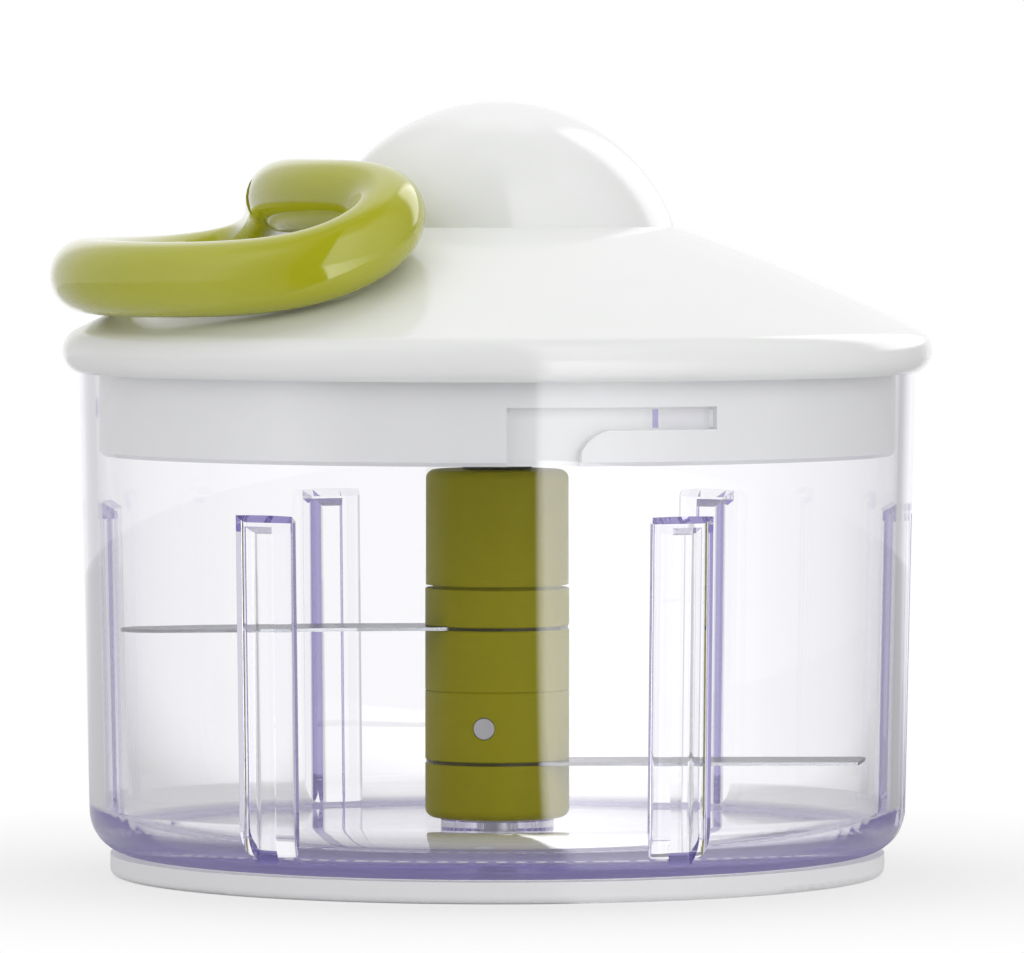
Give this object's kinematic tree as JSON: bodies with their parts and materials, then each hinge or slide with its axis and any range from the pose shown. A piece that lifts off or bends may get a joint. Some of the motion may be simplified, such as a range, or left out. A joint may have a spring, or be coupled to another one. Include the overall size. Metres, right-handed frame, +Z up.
{
  "type": "food chopper",
  "caption": "Hand food chopper: clear ribbed bowl, two-level bladed hub, and a twist-lock domed lid whose ring handle pulls a cord that spins the blades.",
  "frame": {"origin": "on the bowl's axis, at the plane that the foot ring stands on", "axes": "+Z up along the axis of bowl and blades, -X the way the handle is pulled, -Y the front"},
  "size_m": [0.1318, 0.13, 0.1156],
  "materials": {
    "clear_bowl": "gloss",
    "foot_rubber": "matte",
    "white_plastic": "gloss",
    "handle_green": "gloss",
    "hub_green": "satin",
    "core_green": "satin",
    "blade_steel": "brushed",
    "pin_steel": "polished",
    "spring_steel": "satin",
    "reel_plastic": "matte",
    "bush_plastic": "matte",
    "cord_fabric": "braided"
  },
  "bodies": {
    "bowl": {"bowl": "clear_bowl", "foot_ring": "foot_rubber", "pivot_pin": "pin_steel"},
    "blades": {"hub_base": "hub_green", "lower_blade": "blade_steel", "hub_lower_spacer": "hub_green", "hub_middle_spacer": "hub_green", "upper_blade": "blade_steel", "hub_collar": "hub_green", "hub_sleeve": "hub_green", "drive_core": "core_green", "cross_pin": "pin_steel"},
    "lid_bush": {"drive_bush": "bush_plastic"},
    "lid": {"lid_shell": "white_plastic", "lid_cover": "white_plastic", "cover_screws": "pin_steel", "reel_axle": "pin_steel", "thrust_washer": "bush_plastic", "cord_eyelet": "bush_plastic", "pull_cord": "cord_fabric"},
    "reel": {"reel": "reel_plastic", "spring_cover": "reel_plastic", "return_spring": "spring_steel", "cord_winding": "cord_fabric", "socket_clip": "pin_steel"},
    "handle": {"pull_handle": "handle_green", "cord_knot": "cord_fabric"}
  },
  "joints": [
    {"name": "blade_spin", "type": "hinge", "parent": "bowl", "child": "blades", "pos_m": [0, 0, 0], "axis": [0, 0, 1], "range_deg": [0, 1400]},
    {"name": "lid_lift", "type": "slide", "parent": "bowl", "child": "lid_bush", "axis": [0, 0, 1], "range_m": [0, 0.08]},
    {"name": "lid_twist", "type": "hinge", "parent": "lid_bush", "child": "lid", "pos_m": [0, 0, 0], "axis": [0, 0, 1], "range_deg": [0, 20]},
    {"name": "handle_pull", "type": "slide", "parent": "lid", "child": "handle", "axis": [-1, 0, 0], "range_m": [0, 0.35], "stiffness_N_per_m": 15, "springref_m": -0.1, "deforming": ["pull_cord"]},
    {"name": "reel_spin", "type": "hinge", "parent": "lid", "child": "reel", "pos_m": [0, 0, 0], "axis": [0, 0, 1], "range_deg": [0, 1400], "deforming": ["return_spring"]}
  ],
  "couplings": [
    {"joint": "reel_spin", "follows": "handle_pull", "rad_per_m": 68.97},
    {"joint": "blade_spin", "follows": "handle_pull", "rad_per_m": 68.97}
  ]
}
